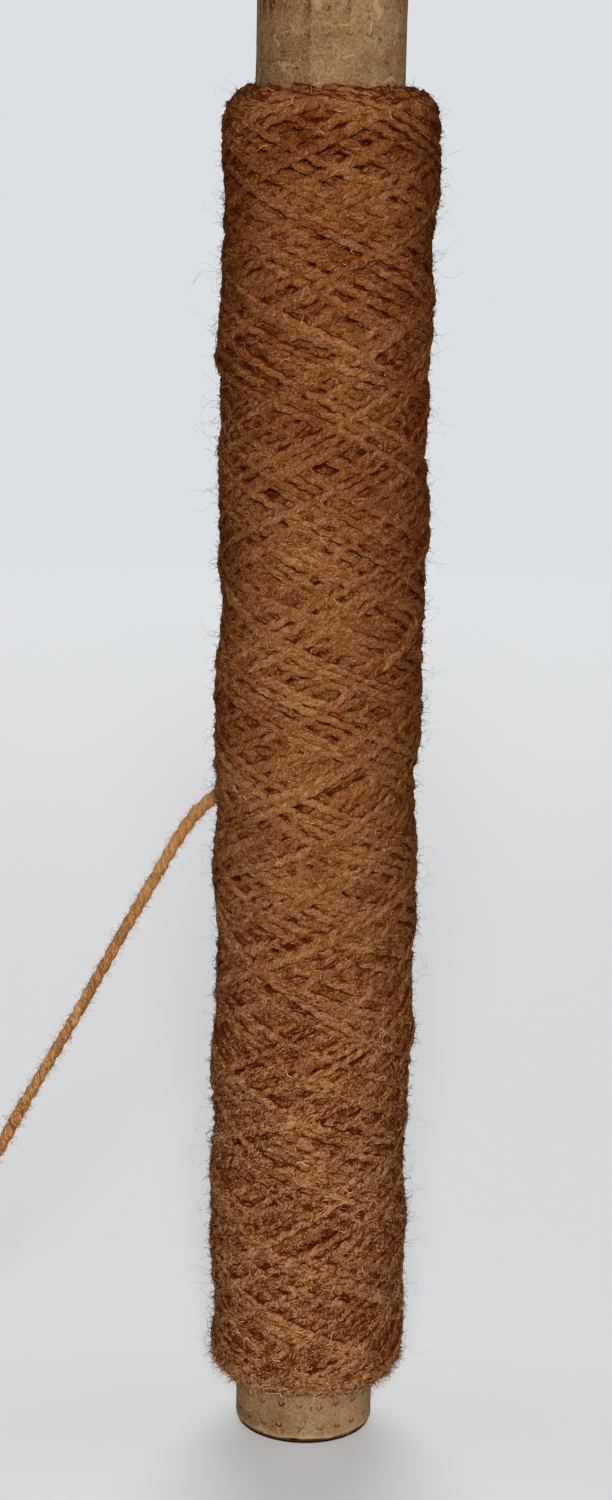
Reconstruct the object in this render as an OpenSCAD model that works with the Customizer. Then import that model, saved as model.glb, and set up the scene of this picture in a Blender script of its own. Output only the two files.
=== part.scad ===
// A tall paper tube cross-wound with plied wool yarn, its loose end trailing to the ground.
// Axis along +Z, origin at the middle of the lower rim. All sizes are in millimetres.

/* [Tube] */
// Bore of the tube
bore_d = 32; // [20:0.5:60]
// Length of the tube
tube_len = 400; // [300:5:600]
// Thickness of the liner, the innermost ply
liner_t = 0.5; // [0.3:0.05:1.2]
// Thickness of each of the four body plies
ply_t = 0.5; // [0.3:0.05:1.2]
// Thickness of the face, the outermost ply
face_t = 0.5; // [0.3:0.05:1.2]
// Rounding of the face ply at both rims
rim_round = 0.2; // [0.05:0.05:0.25]

/* [Winding] */
// Bare tube below the winding
bare_bottom = 15.5; // [6:0.5:60]
// Bare tube above the winding
bare_top = 34.5; // [6:0.5:60]
// Thickness of the base layer of yarn on the tube
base_t = 2.2; // [1.5:0.1:5]
// Rounding of the base layer's edge at both ends
base_round = 1.2; // [0.3:0.1:1.4]
// Thickness of the close-wound layer of yarn over the base layer
close_t = 3.2; // [1.5:0.1:5]
// Height of the ridge that each turn of the close-wound layer makes
ridge_h = 0.6; // [0.2:0.1:1]
// How far each layer of yarn stops short of the one below it
layer_inset = 1.5; // [0.5:0.1:5]
// Width of the pressed yarn in the open layers
pressed_w = 3.6; // [2:0.1:6]
// Height of the pressed yarn in the open layers
pressed_h = 1.3; // [1:0.1:4]
// Clearance between crossing lays of yarn
lay_gap = 0.05; // [0.02:0.01:0.2]
// Whole turns in one pass of the yarn up the tube and back
wraps = 11; // [7:1:15]
// Turns that the yarn takes to turn back at each end
turn_back = 0.08; // [0.04:0.01:0.1]

/* [Loose end] */
// Diameter of the loose yarn
yarn_d = 3.4; // [2:0.1:3.5]
// Height at which the yarn leaves the winding
exit_z = 184; // [100:1:280]
// Direction from the axis at which the yarn leaves the winding
exit_az = 110; // [100:1:120]

/* [Hidden] */

BODY_PLIES = 4;
LAYS = 4;
STEPS_PER_TURN = 20;
TAIL_SIDES = 8;
TAIL_STEPS = 3;
ROUND_FN = 96;
// The stretch of a ridge's pitch that is level.
RIDGE_FROM = 0.3;
RIDGE_TO = 0.7;

KRAFT = [0.56, 0.44, 0.31];
KRAFT_BODY = [0.62, 0.50, 0.36];
YARN = [0.50, 0.33, 0.18];
YARN_DEEP = [0.42, 0.26, 0.14];

liner_r = bore_d / 2 + liner_t;
body_r = liner_r + BODY_PLIES * ply_t;
tube_r = body_r + face_t;
base_r = tube_r + base_t;
close_r = base_r + close_t;
wound_lo = bare_bottom;
wound_hi = tube_len - bare_top;

// The open lays run over the close-wound layer: rising ones below, falling ones across them.
// Between two rings a lay is straight and dips towards the axis, which DIP makes up for.
DIP = cos(180 / STEPS_PER_TURN);
low_r = (close_r + lay_gap + pressed_h / 2) / DIP;
high_r = (low_r + pressed_h + lay_gap) / DIP;
lay_lo = wound_lo + 2 * layer_inset + pressed_w / 2;
lay_hi = wound_hi - 2 * layer_inset - pressed_w / 2;
half_pass = (wraps + 1 / LAYS) / 2;
full_pass = 2 * half_pass;
rise = (lay_hi - lay_lo) / (half_pass - turn_back);

// The last lay stops where the loose end leaves, and the turns before it are counted back from there.
exit_turn = half_pass + turn_back / 2 + (lay_hi - exit_z) / rise;
first_az = exit_az - 360 * ((LAYS - 1) * full_pass + exit_turn);
exit_r = low_r + pressed_h / 2 + lay_gap + yarn_d / 2;

// The loose end's route once it has left the winding: down in an open arc, then along the ground.
TAIL_ROUTE = [[-18, 22, 180], [-27, 19, 175], [-35, 16.5, 167], [-45, 13.5, 150], [-54, 11, 134],
              [-66, 7.5, 112], [-78, 4, 91], [-85, 2, 78], [-95, -2, 59], [-105, -6, 39],
              [-114, -10, 21], [-122, -13, 9], [-131, -17, 3], [-142, -20, 1.8], [-153, -20, 1.8],
              [-163, -16, 1.8], [-171, -8, 1.8], [-174, 3, 1.8]];

function clamp01(t) = min(1, max(0, t));
function smooth(t) = clamp01(t) * clamp01(t) * (3 - 2 * clamp01(t));

// A lay's height, slope and radius after u turns of its pass, with the turn at the top at half_pass.
function eased(x) = x < turn_back ? (x * x + turn_back * turn_back) / (2 * turn_back) : x;
function from_top(u) = abs(u - half_pass);
function lay_z(u) =
    from_top(u) < half_pass / 2
    ? lay_hi - rise * (eased(from_top(u)) - turn_back / 2)
    : lay_lo + rise * (eased(half_pass - from_top(u)) - turn_back / 2);
function lay_slope(u) =
    sign(half_pass - u) * rise * min(1, min(from_top(u), half_pass - from_top(u)) / turn_back);
function turning(u, at) = smooth((u - at) / (2 * turn_back) + 0.5);
function lay_r(u) =
    low_r + (high_r - low_r) * (1 + turning(u, half_pass) - turning(u, 0) - turning(u, full_pass));
function lay_az(lay, u) = first_az + 360 * ((lay - 1) * full_pass + u);

function outward(az) = [cos(az), sin(az), 0];
function along(az, r, slope) =
    let (v = [-sin(az) * 2 * PI * r, cos(az) * 2 * PI * r, slope]) v / norm(v);

// The flattened section of a pressed yarn, as [across, outward] pairs.
PRESSED = [[pressed_w / 2, 0], [pressed_w / 4, -pressed_h / 2], [-pressed_w / 4, -pressed_h / 2],
           [-pressed_w / 2, 0], [-pressed_w / 4, pressed_h / 2], [pressed_w / 4, pressed_h / 2]];

function lay_ring(az, r, z, slope) =
    let (out = outward(az), side = cross(out, along(az, r, slope)))
    [for (p = PRESSED) r * out + [0, 0, z] + p[0] * side + p[1] * out];

// A closed skin over a row of rings that all have the same number of points.
module skin(rings) {
    n = len(rings[0]);
    last = (len(rings) - 1) * n;
    sides = [for (i = [0 : len(rings) - 2], j = [0 : n - 1])
        let (a = i * n + j, b = i * n + (j + 1) % n)
        each [[a, b, b + n], [a, b + n, a + n]]];
    start_cap = [for (j = [n - 1 : -1 : 0]) j];
    end_cap = [for (j = [0 : n - 1]) last + j];
    polyhedron([for (ring = rings) each ring], concat([start_cap], sides, [end_cap]));
}

// A tube with its outer edges rounded.
module sleeve(r_in, r_out, z_lo, z_hi, edge) {
    rotate_extrude($fn = ROUND_FN) {
        translate([r_in, z_lo])
            square([r_out - edge - r_in, z_hi - z_lo]);
        translate([r_in, z_lo + edge])
            square([r_out - r_in, z_hi - z_lo - 2 * edge]);
        translate([r_out - edge, z_lo + edge])
            circle(edge, $fn = ROUND_FN);
        translate([r_out - edge, z_hi - edge])
            circle(edge, $fn = ROUND_FN);
    }
}

module plain_tube(r_in, r_out, length) {
    difference() {
        cylinder(h = length, r = r_out, $fn = ROUND_FN);
        translate([0, 0, -1])
            cylinder(h = length + 2, r = r_in, $fn = ROUND_FN);
    }
}

module core_liner() {
    color(KRAFT_BODY)
        plain_tube(bore_d / 2, liner_r, tube_len);
}

module core_ply(index) {
    color(KRAFT_BODY)
        plain_tube(liner_r + (index - 1) * ply_t, liner_r + index * ply_t, tube_len);
}

module core_face_ply() {
    color(KRAFT)
        sleeve(body_r, tube_r, 0, tube_len, rim_round);
}

module yarn_base_layer() {
    color(YARN_DEEP)
        sleeve(tube_r, base_r, wound_lo, wound_hi, base_round);
}

// Turns of pressed yarn side by side, with a groove between each two.
module yarn_close_layer() {
    z_lo = wound_lo + layer_inset;
    length = wound_hi - wound_lo - 2 * layer_inset;
    count = round(length / pressed_w);
    pitch = length / count;
    ridges = [for (i = [0 : count - 1])
        let (z = z_lo + i * pitch)
        each [[close_r - ridge_h, z], [close_r, z + RIDGE_FROM * pitch], [close_r, z + RIDGE_TO * pitch]]];
    color(YARN_DEEP)
        rotate_extrude($fn = ROUND_FN)
            polygon(concat([[base_r, z_lo + length], [base_r, z_lo]], ridges,
                           [[close_r - ridge_h, z_lo + length]]));
}

// One pass of the yarn from the lower end to the upper and back. The last pass stops at exit_turn.
module yarn_lay(index) {
    turns = index < LAYS ? full_pass : exit_turn;
    steps = ceil(turns * STEPS_PER_TURN);
    color(YARN)
        skin([for (i = [0 : steps])
            let (u = turns * i / steps)
            lay_ring(lay_az(index, u), lay_r(u), lay_z(u), lay_slope(u))]);
}

exit_point = exit_r * outward(exit_az) + [0, 0, exit_z];
exit_dir = along(exit_az, lay_r(exit_turn), lay_slope(exit_turn));
tail_points = concat([exit_point], TAIL_ROUTE);
tail_last = len(tail_points) - 1;

// A smooth curve through the route's points.
function tail_at(i, t) =
    let (p0 = tail_points[max(0, i - 1)], p1 = tail_points[i],
         p2 = tail_points[i + 1], p3 = tail_points[min(tail_last, i + 2)])
    0.5 * (2 * p1 + (p2 - p0) * t + (2 * p0 - 5 * p1 + 4 * p2 - p3) * t * t
           + (3 * p1 - p0 - 3 * p2 + p3) * t * t * t);

function round_ring(centre, dir, r) =
    let (side = cross(dir, [0, 0, 1]) / norm(cross(dir, [0, 0, 1])), over = cross(side, dir))
    [for (j = [0 : TAIL_SIDES - 1])
        let (a = 360 * (j + 0.5) / TAIL_SIDES)
        centre + r * (cos(a) * side + sin(a) * over)];

module yarn_tail() {
    centres = concat(
        [for (i = [0 : tail_last - 1], s = [0 : TAIL_STEPS - 1]) tail_at(i, s / TAIL_STEPS)],
        [tail_points[tail_last]]);
    last = len(centres) - 1;
    function heading(k) =
        k == 0 ? exit_dir
        : let (v = centres[min(last, k + 1)] - centres[k - 1]) v / norm(v);
    color(YARN)
        skin([for (k = [0 : last]) round_ring(centres[k], heading(k), yarn_d / 2)]);
}

core_liner();
core_ply(1);  // core_ply_1
core_ply(2);  // core_ply_2
core_ply(3);  // core_ply_3
core_ply(4);  // core_ply_4
core_face_ply();
yarn_base_layer();
yarn_close_layer();
yarn_lay(1);  // yarn_lay_1
yarn_lay(2);  // yarn_lay_2
yarn_lay(3);  // yarn_lay_3
yarn_lay(4);  // yarn_lay_4
yarn_tail();
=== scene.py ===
"""A tall paper tube wound crosswise with brown two-ply wool, its loose end trailing to the ground.

Lengths are in millimetres until a mesh is made, and every mesh is in metres.
"""
import math

import bpy
import numpy as np
from mathutils import Euler, Matrix, Vector


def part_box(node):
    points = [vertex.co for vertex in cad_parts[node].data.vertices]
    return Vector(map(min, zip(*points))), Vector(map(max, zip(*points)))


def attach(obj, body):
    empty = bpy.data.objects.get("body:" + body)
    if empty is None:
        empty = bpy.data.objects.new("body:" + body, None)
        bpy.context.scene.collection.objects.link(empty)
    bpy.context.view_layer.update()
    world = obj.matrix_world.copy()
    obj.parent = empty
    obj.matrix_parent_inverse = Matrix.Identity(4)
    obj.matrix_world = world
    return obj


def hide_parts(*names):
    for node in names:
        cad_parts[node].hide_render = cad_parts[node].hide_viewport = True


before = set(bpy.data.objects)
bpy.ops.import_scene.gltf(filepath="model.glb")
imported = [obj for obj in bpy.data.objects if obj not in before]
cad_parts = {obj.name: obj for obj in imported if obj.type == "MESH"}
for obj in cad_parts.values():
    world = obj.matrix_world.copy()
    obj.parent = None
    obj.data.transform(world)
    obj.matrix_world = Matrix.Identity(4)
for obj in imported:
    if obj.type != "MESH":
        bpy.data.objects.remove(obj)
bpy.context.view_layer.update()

MM = 0.001
TURN = 2 * math.pi

# ---- Sizes taken from the solids ----

tube_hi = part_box("core_face_ply")[1]
wound_lo, wound_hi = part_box("yarn_base_layer")
TUBE_R = tube_hi[0] / MM
TUBE_LEN = tube_hi[2] / MM
PLY_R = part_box("core_ply_4")[1][0] / MM
WOUND_LO = wound_lo[2] / MM
WOUND_HI = wound_hi[2] / MM

# ---- The yarn ----

PLY_THICK = 1.26
PLY_OFF = 0.44
TAIL_PLY_THICK = 1.30
TAIL_PLY_OFF = 0.47
TWIST_PITCH = 9.0
RING_STEP = 2.0
YARN_PIECES = 8

# The loose end: where it leaves the winding, and its route down and along the ground.
EXIT = (-9.51, 26.13, 184.0)
TAIL_ROUTE = [(-18, 22, 180), (-27, 19, 175), (-35, 16.5, 167), (-45, 13.5, 150), (-54, 11, 134),
              (-66, 7.5, 112), (-78, 4, 91), (-85, 2, 78), (-95, -2, 59), (-105, -6, 39),
              (-114, -10, 21), (-122, -13, 9), (-131, -17, 3), (-142, -20, 1.8), (-153, -20, 1.8),
              (-163, -16, 1.8), (-171, -8, 1.8), (-174, 3, 1.8)]

# ---- Camera ----

VIEW_AT = (-2.9, -731.0, 364.5)
VIEW_DOWN = 13.25
VIEW_ROLL = 1.14
LENS = 67.5
SENSOR = 36
NEAREST = 0.01
FARTHEST = 60


def placed_object(name, data):
    made = bpy.data.objects.new(name, data)
    bpy.context.scene.collection.objects.link(made)
    return made


def make_camera():
    data = bpy.data.cameras.new("camera")
    data.lens = LENS
    data.sensor_width = SENSOR
    data.clip_start = NEAREST
    data.clip_end = FARTHEST
    cam = placed_object("camera", data)
    aim = Euler((math.radians(90 - VIEW_DOWN), 0, 0)).to_matrix()
    turn = aim @ Matrix.Rotation(math.radians(VIEW_ROLL), 3, "Z")
    cam.matrix_world = Matrix.Translation([v * MM for v in VIEW_AT]) @ turn.to_4x4()
    bpy.context.scene.camera = cam


# ---- Node building ----


def node(tree, kind, ins=(), **settings):
    """Adds a node, sets its properties, and links or sets its inputs, given as (key, value) pairs."""
    made = tree.nodes.new(kind)
    for name, value in settings.items():
        setattr(made, name, value)
    for key, value in ins:
        if isinstance(value, bpy.types.NodeSocket):
            tree.links.new(value, made.inputs[key])
        else:
            made.inputs[key].default_value = value
    return made


def tree_of(*values):
    """The tree that the first socket among the values belongs to."""
    return next(value.id_data for value in values if isinstance(value, bpy.types.NodeSocket))


def calc(operation, *values):
    made = node(tree_of(*values), "ShaderNodeMath", list(enumerate(values)), operation=operation)
    return made.outputs[0]


def plus(a, b):
    return calc("ADD", a, b)


def minus(a, b):
    return calc("SUBTRACT", a, b)


def times(a, b):
    return calc("MULTIPLY", a, b)


def over(a, b):
    return calc("DIVIDE", a, b)


def combined(*values):
    return node(tree_of(*values), "ShaderNodeCombineXYZ", list(enumerate(values))).outputs[0]


def vector_node(operation, ins):
    tree = tree_of(*(value for _, value in ins))
    return node(tree, "ShaderNodeVectorMath", ins, operation=operation).outputs


def vec(operation, *values):
    return vector_node(operation, list(enumerate(values)))[0]


def dot(a, b):
    return vector_node("DOT_PRODUCT", [(0, a), (1, b)])[1]


def length_of(vector):
    return vector_node("LENGTH", [(0, vector)])[1]


def scaled(vector, factor):
    return vector_node("SCALE", [(0, vector), (3, factor)])[0]


def attribute(tree, name, data_type="FLOAT"):
    return node(tree, "GeometryNodeInputNamedAttribute", [("Name", name)], data_type=data_type).outputs[0]


def stored(geometry, name, value, data_type):
    return node(geometry.id_data, "GeometryNodeStoreNamedAttribute", [
        (0, geometry), ("Name", name), ("Value", value)], data_type=data_type, domain="POINT").outputs[0]


def captured(geometry, items):
    """Holds values, given as (kind, label, value), on a geometry. Outputs: the geometry, then the values."""
    made = node(geometry.id_data, "GeometryNodeCaptureAttribute", [(0, geometry)])
    for kind, label, _ in items:
        made.capture_items.new(kind, label)
    for at, (_, _, value) in enumerate(items, 1):
        geometry.id_data.links.new(value, made.inputs[at])
    return made.outputs


def moved(geometry, offset):
    return node(geometry.id_data, "GeometryNodeSetPosition", [
        (0, geometry), ("Offset", offset)]).outputs[0]


def swept(curve, section, scale):
    return node(curve.id_data, "GeometryNodeCurveToMesh", [
        (0, curve), (1, section), ("Scale", scale), ("Fill Caps", True)]).outputs[0]


def circle(sides, radius):
    return node(radius.id_data, "GeometryNodeCurvePrimitiveCircle", [
        ("Resolution", sides), ("Radius", radius)]).outputs[0]


def new_group(name, kind, inputs, outputs):
    """A node group with inputs as (label, kind) or (label, kind, value), and outputs as (label, kind)."""
    tree = bpy.data.node_groups.new(name, kind)
    for label, socket_kind, *values in inputs:
        socket = tree.interface.new_socket(label, in_out="INPUT", socket_type="NodeSocket" + socket_kind)
        for value in values:
            socket.default_value = value
    for label, socket_kind in outputs:
        tree.interface.new_socket(label, in_out="OUTPUT", socket_type="NodeSocket" + socket_kind)
    return tree, tree.nodes.new("NodeGroupInput").outputs, tree.nodes.new("NodeGroupOutput").inputs


def geometry_group(name, inputs):
    shape = ("Geometry", "Geometry")
    return new_group(name, "GeometryNodeTree", [shape, *inputs], [shape])


def shader_group(name, inputs, outputs):
    return new_group(name, "ShaderNodeTree", inputs, [(label, "Float") for label in outputs])


def finish_tree(tree, result, geometry, material):
    """Every tree ends in Realize Instances and Set Material."""
    realized = node(tree, "GeometryNodeRealizeInstances", [(0, geometry)]).outputs[0]
    smooth = node(tree, "GeometryNodeSetShadeSmooth", [(0, realized)]).outputs[0]
    done = node(tree, "GeometryNodeSetMaterial", [(0, smooth), ("Material", material)]).outputs[0]
    tree.links.new(done, result[0])


def grown(name, source, tree, values):
    """The tree run on a source mesh, as a plain mesh object of its own."""
    carrier = placed_object(name + "_carrier", source)
    modifier = carrier.modifiers.new("grow", "NODES")
    modifier.node_group = tree
    for item in tree.interface.items_tree:
        if item.in_out == "INPUT" and item.name in values:
            modifier[item.identifier] = values[item.name]
    bpy.context.view_layer.update()
    evaluated = carrier.evaluated_get(bpy.context.evaluated_depsgraph_get())
    mesh = bpy.data.meshes.new_from_object(evaluated)
    bpy.data.objects.remove(carrier)
    mesh.name = name
    return placed_object(name, mesh)


# ---- The yarn's tree and the fibres' tree ----

# How far apart along the fibre pattern the two plies are read, so that they differ.
PLY_PATTERN_STEP = 37.0


def plied_yarn_tree():
    """Two plies twisted round a centreline, whose points carry outward, sideways, along and girth."""
    tree, given, result = geometry_group("plied_yarn", [
        ("Ply radius", "Float"), ("Ply offset", "Float"), ("Twist pitch", "Float"), ("Flatness", "Float"),
        ("Side shade", "Float"), ("Sides", "Int"), ("Material", "Material")])
    curve = node(tree, "GeometryNodeMeshToCurve", [(0, given["Geometry"])]).outputs[0]
    along = attribute(tree, "along")
    girth = attribute(tree, "girth")
    outward = attribute(tree, "outward", "FLOAT_VECTOR")
    sideways = attribute(tree, "sideways", "FLOAT_VECTOR")
    turned = over(times(along, -TURN), given["Twist pitch"])
    reach = times(girth, given["Ply offset"])
    position = node(tree, "GeometryNodeInputPosition").outputs[0]
    middle = captured(curve, [("VECTOR", "middle", position)])
    ring = circle(given["Sides"], given["Ply radius"])
    factor = node(tree, "GeometryNodeSplineParameter").outputs["Factor"]
    section = captured(ring, [("FLOAT", "around", factor)])
    both = node(tree, "GeometryNodeJoinGeometry")
    plies = []
    for ply in range(2):
        angle = plus(turned, ply * math.pi)
        up = times(calc("COSINE", angle), reach)
        across = times(calc("SINE", angle), reach)
        move = vec("ADD", scaled(outward, up), scaled(sideways, across))
        tube = swept(moved(middle[0], move), section[0], girth)
        around = plus(times(section[1], TURN), times(turned, -1.0))
        place = combined(calc("COSINE", around), calc("SINE", around), plus(along, ply * PLY_PATTERN_STEP))
        plies.append(stored(tube, "fibre", place, "FLOAT_VECTOR"))
    for ply in plies:
        tree.links.new(ply, both.inputs[0])
    # The crest, how high each point stands in its strand, sets the wool's painted shade in grooves and on
    # sides.
    off_axis = vec("SUBTRACT", position, middle[1])
    rise = dot(off_axis, outward)
    full = plus(given["Ply radius"], given["Ply offset"])
    crest = node(tree, "ShaderNodeMix", [
        (0, given["Side shade"]), (2, over(length_of(off_axis), full)),
        (3, over(rise, full))], data_type="FLOAT").outputs[0]
    shaded = stored(both.outputs[0], "crest", crest, "FLOAT")
    press = times(rise, minus(given["Flatness"], 1.0))
    finish_tree(tree, result, moved(shaded, scaled(outward, press)), given["Material"])
    return tree


SHORTEST_FIBRE = 0.35
TIP_THINNING = 0.6
FIBRE_SIDES = 3
PATTERN_ROOM = 900
OWN_SEED_STEP = 11.0
SIZE_SEED_STEP = 23.0
SWAY_SEED_STEP = 31.0


def random_value(low, high, seed):
    return node(seed.id_data, "FunctionNodeRandomValue", [(2, low), (3, high), ("Seed", seed)],
                data_type="FLOAT").outputs[1]


def random_vector(low, high, seed):
    return node(seed.id_data, "FunctionNodeRandomValue", [
        (0, (low,) * 3), (1, (high,) * 3), ("Seed", seed)], data_type="FLOAT_VECTOR").outputs[0]


def fibre_roots(tree, given):
    """Points on the open side of a surface, each with a place in the pattern, a heading and a length."""
    seed = given["Seed"]
    outward = attribute(tree, "outward", "FLOAT_VECTOR")
    facing = dot(node(tree, "GeometryNodeInputNormal").outputs[0], outward)
    open_side = node(tree, "FunctionNodeCompare", [(0, facing), (1, given["Facing"])],
                     data_type="FLOAT", operation="GREATER_THAN").outputs[0]
    density = times(given["Density"], attribute(tree, given["Where"]))
    spread = node(tree, "GeometryNodeDistributePointsOnFaces", [
        (0, given["Geometry"]), (1, open_side), ("Density", density), ("Seed", seed)])
    normal = spread.outputs["Normal"]
    lean = random_vector(-1, 1, seed)
    strand = vec("CROSS_PRODUCT", outward, attribute(tree, "sideways", "FLOAT_VECTOR"))
    sway = random_value(-1.0, 1.0, plus(seed, SWAY_SEED_STEP))
    along = scaled(strand, times(sway, given["Combed"]))
    level_lean = vec("SUBTRACT", lean, scaled(normal, dot(lean, normal)))
    flat = scaled(vec("ADD", level_lean, along), given["Lie flat"])
    heading = vec("ADD", scaled(normal, minus(1.0, given["Lie flat"])), flat)
    own = random_vector(0, PATTERN_ROOM, plus(seed, OWN_SEED_STEP))
    size = random_value(SHORTEST_FIBRE, 1.0, plus(seed, SIZE_SEED_STEP))
    return captured(spread.outputs["Points"], [
        ("VECTOR", "own", own), ("VECTOR", "heading", vec("NORMALIZE", heading)),
        ("FLOAT", "size", times(size, given["Length"]))])


def fuzz_tree():
    """Curled fibres that grow out of a surface, thinner towards their tips."""
    tree, given, result = geometry_group("fuzz", [
        ("Where", "String"), ("Density", "Float"), ("Length", "Float"), ("Thickness", "Float"),
        ("Curl", "Float"), ("Curl pitch", "Float"), ("Lie flat", "Float"), ("Combed", "Float"),
        ("Facing", "Float"), ("Segments", "Int"), ("Seed", "Int"), ("Material", "Material")])
    roots, own, heading, size = fibre_roots(tree, given)[:4]
    line = node(tree, "GeometryNodeCurvePrimitiveLine", [("End", (0, 0, 0))]).outputs[0]
    steps = node(tree, "GeometryNodeSubdivideCurve", [
        (0, line), ("Cuts", minus(given["Segments"], 1.0))]).outputs[0]
    planted = node(tree, "GeometryNodeInstanceOnPoints", [(0, roots), ("Instance", steps)]).outputs[0]
    hairs = node(tree, "GeometryNodeRealizeInstances", [(0, planted)]).outputs[0]
    index = node(tree, "GeometryNodeSplineParameter").outputs["Index"]
    share = over(index, given["Segments"])
    reach = times(share, size)
    wander = combined(over(reach, given["Curl pitch"]))
    field = node(tree, "ShaderNodeTexNoise", [
        ("Vector", vec("ADD", own, wander)), ("Scale", 1.0), ("Detail", 0.0)]).outputs["Color"]
    swing = scaled(vec("SUBTRACT", field, (0.5, 0.5, 0.5)), times(reach, given["Curl"]))
    bent = moved(hairs, vec("ADD", scaled(heading, reach), swing))
    taper = minus(1.0, times(share, TIP_THINNING))
    tube = swept(bent, circle(FIBRE_SIDES, given["Thickness"]), taper)
    finish_tree(tree, result, stored(tube, "fibre", own, "FLOAT_VECTOR"), given["Material"])
    return tree


# ---- Laying the yarn ----

# Each band: turns in a round trip, strands side by side, the gap between them, and how deep it lies.
BANDS = (
    (11.4, 21, 2.9, 0.8),
    (10.6, 21, 2.85, 0.7),
    (8.8, 8, 2.8, 0.6),
    (9.4, 9, 2.8, 0.5),
    (8.4, 8, 2.8, 0.4),
    (9.0, 9, 2.8, 0.35),
    (8.5, 7, 2.8, 0.3),
    (9.2, 6, 2.8, 0.25),
    (8.7, 3, 3.4, 0.1),
    (8.3, 3, 21.0, 0.0),
)
MEAN_TURN = TURN * 25.9
HALF_WAY = 175.0

# The package: its radius, its lumps (height, spacing, sway round it, turn), and how its ends slope.
CENTRE_R_LOW = 26.0
CENTRE_R_HIGH = 26.8
LUMPS = ((0.40, 7.7, 2, 0), (0.30, 4.4, 0, -1), (0.45, 17.0, 0, 1))
BOW = 0.25
STRAND_HALF = 1.2
END_SLUMP = 8.5
LOW_LEAD = 0.3
HIGH_LEAD = 1.5

# One pass: how it turns back at an end, and how it strays from an even climb.
TURN_BACK = 0.11
QUIET_TURNS = 0.6
SWAY = 0.55
SWAY_SPACING = 22
UNEVEN_RISE = 0.4
DRIFT = 5.0
DRIFT_KNOTS = 14
DRIFT_STEPS = 10
DRIFT_SOFTNESS = 5
INSET = 1.2
INSET_GROWTH = 3.2
BAND_START = (0.2, 0.8)
END_SCATTER = 1.6
GAP_SCATTER = 0.06

# How strands lie over each other.
CELL = 0.6
CELL_MARGIN = 2
PASS_LEAD = 1.3
BAND_ORDER = 1000
SINK = (0.0, 0.85, 1.5, 1.8)
SINK_SOFTNESS = 2
DEEPEST = 2.4
OVER_AT = (-0.9, -0.3, 0.3, 0.9)
OPEN_AT = np.linspace(-1.5, 1.5, 7)
COVER_AT = np.linspace(-1.45, 1.45, 7)
LIFT_LENGTH = 38.0

# A strand's own unevenness: how much, over what spacing, and between what limits.
GIRTH = (0.10, 9, 0.8, 1.22)
TAIL_GIRTH = (0.07, 14, 0.85, 1.15)
SLACK = (1.1, 13)


def smooth_noise(rng, count, step, lump):
    """A random run of about unit size that changes over lump."""
    knots = rng.normal(size=int(count * step / lump) + 4)
    x = np.arange(count) * step / lump
    i = x.astype(int)
    t = x - i
    t = t * t * (3 - 2 * t)
    return knots[i] * (1 - t) + knots[i + 1] * t


def softened(values, reach):
    kernel = np.exp(-0.5 * (np.arange(-3 * reach, 3 * reach + 1) / reach) ** 2)
    padded = np.pad(values, 3 * reach, mode="edge")
    return np.convolve(padded, kernel / kernel.sum(), mode="valid")


def uneven_girth(rng, count, amount, spacing, least, most):
    return np.clip(1 + amount * smooth_noise(rng, count, RING_STEP, spacing), least, most)


def package_r(z, turn):
    """Radius of a top strand's centreline: the taper, the gentle lumps and the sloping ends."""
    share = (z - WOUND_LO) / (WOUND_HI - WOUND_LO)
    body = CENTRE_R_LOW + (CENTRE_R_HIGH - CENTRE_R_LOW) * share
    angle = TURN * turn
    for height, spacing, sway, lean in LUMPS:
        body = body + height * np.sin(z / spacing + sway * np.sin(angle) + lean * angle)
    body = body + BOW * np.cos(angle)
    d = np.clip(np.minimum(z - WOUND_LO - LOW_LEAD, WOUND_HI - z - HIGH_LEAD) / END_SLUMP, 0, 1)
    low = TUBE_R + STRAND_HALF
    return low + (body - low) * np.sqrt(1 - (1 - d) ** 2)


def traverse(rng, lo, hi, turns, lumps):
    """Height along one pass from lo to hi. lumps is the band's own drift, shared by its passes."""
    count = int(turns * MEAN_TURN / RING_STEP)
    u = np.linspace(0, turns, count)

    def eased(x):
        return np.where(x < TURN_BACK, (x * x + TURN_BACK ** 2) / (2 * TURN_BACK), x) - TURN_BACK / 2

    rate = (hi - lo) / (turns - TURN_BACK)
    climb = np.where(u < turns / 2, rate * eased(u), (hi - lo) - rate * eased(turns - u))
    z = lo + climb
    quiet = np.clip(np.minimum(u, turns - u) / QUIET_TURNS, 0, 1)
    drift = np.interp(z, np.linspace(WOUND_LO, WOUND_HI, len(lumps)), lumps)
    return u, z + quiet * (drift + SWAY * smooth_noise(rng, count, RING_STEP, SWAY_SPACING))


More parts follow.
